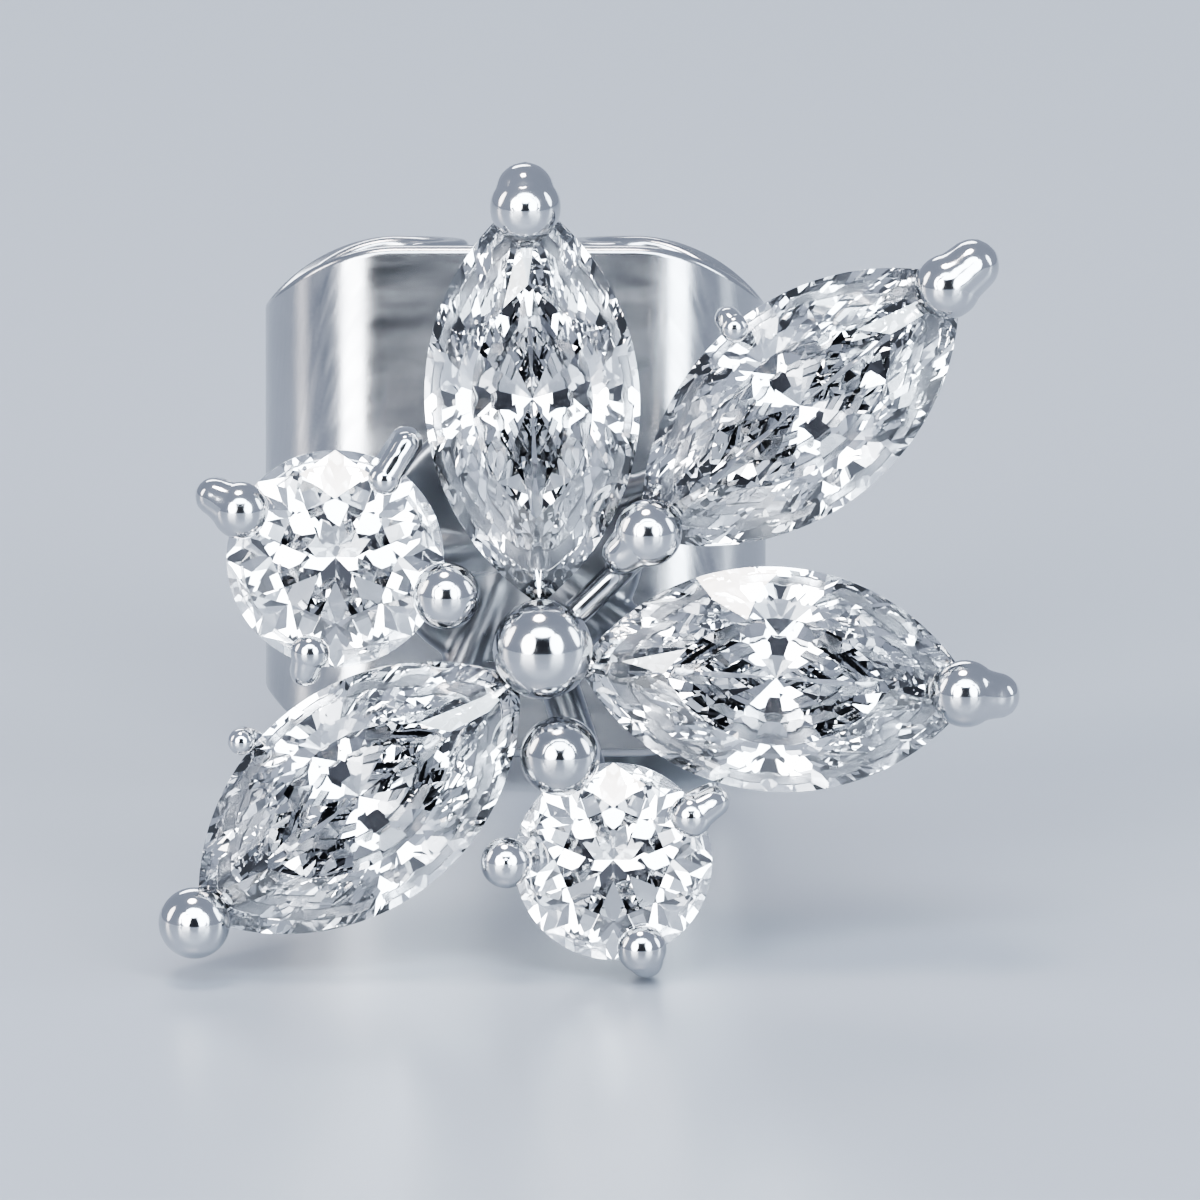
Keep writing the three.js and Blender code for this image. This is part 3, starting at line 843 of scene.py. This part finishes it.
def cutStone(name):
    # a rod with the stone's outline, cut by one facet after another
    stone = stones[name]
    facets, top, bottom = stoneFacets(stone, facetPlans[name.split("_")[0]])
    ring = [outlineAt(stone, outlineSteps * i / girdleSides)[0] for i in range(girdleSides)]
    shape = bmesh.new()
    low = [shape.verts.new((*p, bottom - blankSpare)) for p in ring]
    high = [shape.verts.new((*p, top)) for p in ring]
    clockwise = (ring[1] - ring[0]).cross(ring[2] - ring[1]) < 0
    for i in range(girdleSides):
        j = (i + 1) % girdleSides
        shape.faces.new((low[i], low[j], high[j], high[i]))
    shape.faces.new(list(reversed(low)))
    shape.faces.new(high)
    if clockwise:
        bmesh.ops.reverse_faces(shape, faces=shape.faces[:])
    for point, normal in facets:
        parts = shape.verts[:] + shape.edges[:] + shape.faces[:]
        result = bmesh.ops.bisect_plane(
            shape, geom=parts, dist=sameSpot, plane_co=point, plane_no=normal, clear_outer=True)
        edges = [e for e in result["geom_cut"] if isinstance(e, bmesh.types.BMEdge) and e.is_boundary]
        if len(edges) > 2:
            bmesh.ops.contextual_create(shape, geom=edges)
    bmesh.ops.recalc_face_normals(shape, faces=shape.faces[:])
    turn = Matrix.Rotation(math.radians(stone["turn"]), 4, "Z")
    place = Matrix.Translation((stone["x"], stone["y"], 0)) @ turn
    bmesh.ops.transform(shape, matrix=place, verts=shape.verts[:])
    mesh = bpy.data.meshes.new(name + "_cut")
    shape.to_mesh(mesh)
    openEdges = sum(e.is_boundary for e in shape.edges)
    shape.free()
    print(name, "cut:", len(mesh.polygons), "facets,", openEdges, "open edges")
    finished(newObject(name + "_cut", mesh), crystal, "clear_stone", name)


for name in stones:
    cutStone(name)
print("stones finished")

# lamps stand at reach from the earring; lengths here and in shot are in metres
studio = {
    "floorSize": 3.0, "floorColour": (0.38, 0.405, 0.45), "floorGloss": 0.3, "reach": 0.5,
    # the room is darker in front: it turns from room to front as a direction nears frontWay
    "room": (0.38, 0.42, 0.51), "front": (0.06, 0.065, 0.08),
    "frontWay": (0, -0.99, 0.14), "frontFrom": (0.77, 0.95),
    "cool": (0.84, 0.93, 1.0), "warm": (1.0, 0.93, 0.88), "plain": (0.96, 0.98, 1.0),
    # azimuth from the front towards the right, elevation, width, height, power in watts and tint
    "lamps": {
        "keyLeft": (-30, 18, 0.25, 0.38, 2.1, "plain"),
        "keyRight": (30, 18, 0.23, 0.38, 1.6, "cool"),
        "frontTop": (0, 44, 0.42, 0.18, 1.4, "cool"),
        "sideLeft": (-86, 22, 0.15, 0.32, 0.54, "warm"),
        "sideRight": (84, 22, 0.15, 0.32, 0.54, "cool"),
        "top": (-30, 78, 0.17, 0.17, 0.9, "warm"),
        "back": (190, 40, 0.3, 0.16, 0.52, "plain"),
    },
}


def makeFloor():
    half = studio["floorSize"] / 2
    corners = [(-half, -half, 0), (half, -half, 0), (half, half, 0), (-half, half, 0)]
    floor = newObject("floor", newMesh("floor", corners, [(0, 1, 2, 3)]))
    material, tree = newMaterial("pale_floor")
    paint = addNode(tree, "ShaderNodeBsdfPrincipled", {
        "Base Color": (*studio["floorColour"], 1), "Roughness": studio["floorGloss"]})
    addNode(tree, "ShaderNodeOutputMaterial", {"Surface": paint.outputs["BSDF"]})
    floor.data.materials.append(material)


def around(azimuth, elevation, distance, target):
    # a place seen from the target: azimuth 0 is in front of the face and 90 on its right
    turn, rise = math.radians(azimuth), math.radians(elevation)
    way = Vector((math.sin(turn) * math.cos(rise), -math.cos(turn) * math.cos(rise), math.sin(rise)))
    return target + way * distance


def aimed(thing, place, target):
    thing.location = place
    thing.rotation_euler = (target - place).to_track_quat("-Z", "Y").to_euler()
    return thing


lowCorner, highCorner = (Vector(c) for c in cadBox)
target = (lowCorner + highCorner) / 2


def makeLights():
    for name, (azimuth, elevation, wide, tall, power, tint) in studio["lamps"].items():
        lamp = bpy.data.lights.new(name, "AREA")
        lamp.shape = "ELLIPSE"
        lamp.size = wide
        lamp.size_y = tall
        lamp.energy = power
        lamp.color = studio[tint]
        aimed(newObject(name, lamp), around(azimuth, elevation, studio["reach"], target), target)


def makeRoom():
    world = bpy.data.worlds.new("studio")
    world.use_nodes = True
    tree = world.node_tree
    way = addNode(tree, "ShaderNodeTexCoord").outputs["Generated"]
    facing = addNode(tree, "ShaderNodeVectorMath", {
        0: way, 1: studio["frontWay"]}, operation="DOT_PRODUCT")
    wide, close = studio["frontFrom"]
    colour = ramp(tree, facing.outputs["Value"], [(wide, studio["room"]), (close, studio["front"])])
    tree.links.new(colour, tree.nodes["Background"].inputs["Color"])
    bpy.context.scene.world = world


# lens and sensor are in millimetres, as Blender's camera has them
shot = {
    "elevation": 12.7, "distance": 0.195, "lens": 600, "sensor": 36, "aim": (0.0001, -0.0053, 0.0037),
    "clip": (0.01, 10), "bounces": 40, "glossBounces": 8, "look": "AgX - High Contrast",
}


def setLight():
    # light turns many times inside a cut stone before it comes out again
    cycles = bpy.context.scene.cycles
    cycles.max_bounces = shot["bounces"]
    cycles.transmission_bounces = shot["bounces"]
    cycles.glossy_bounces = shot["glossBounces"]
    bpy.context.scene.view_settings.look = shot["look"]


def makeCamera():
    data = bpy.data.cameras.new("camera")
    data.lens = shot["lens"]
    data.sensor_width = shot["sensor"]
    data.clip_start, data.clip_end = shot["clip"]
    camera = newObject("camera", data)
    aim = Vector(shot["aim"])
    aimed(camera, around(0, shot["elevation"], shot["distance"], aim), aim)
    bpy.context.scene.camera = camera


makeFloor()
makeLights()
makeRoom()
makeCamera()
setLight()
print("floor, lights and camera set")
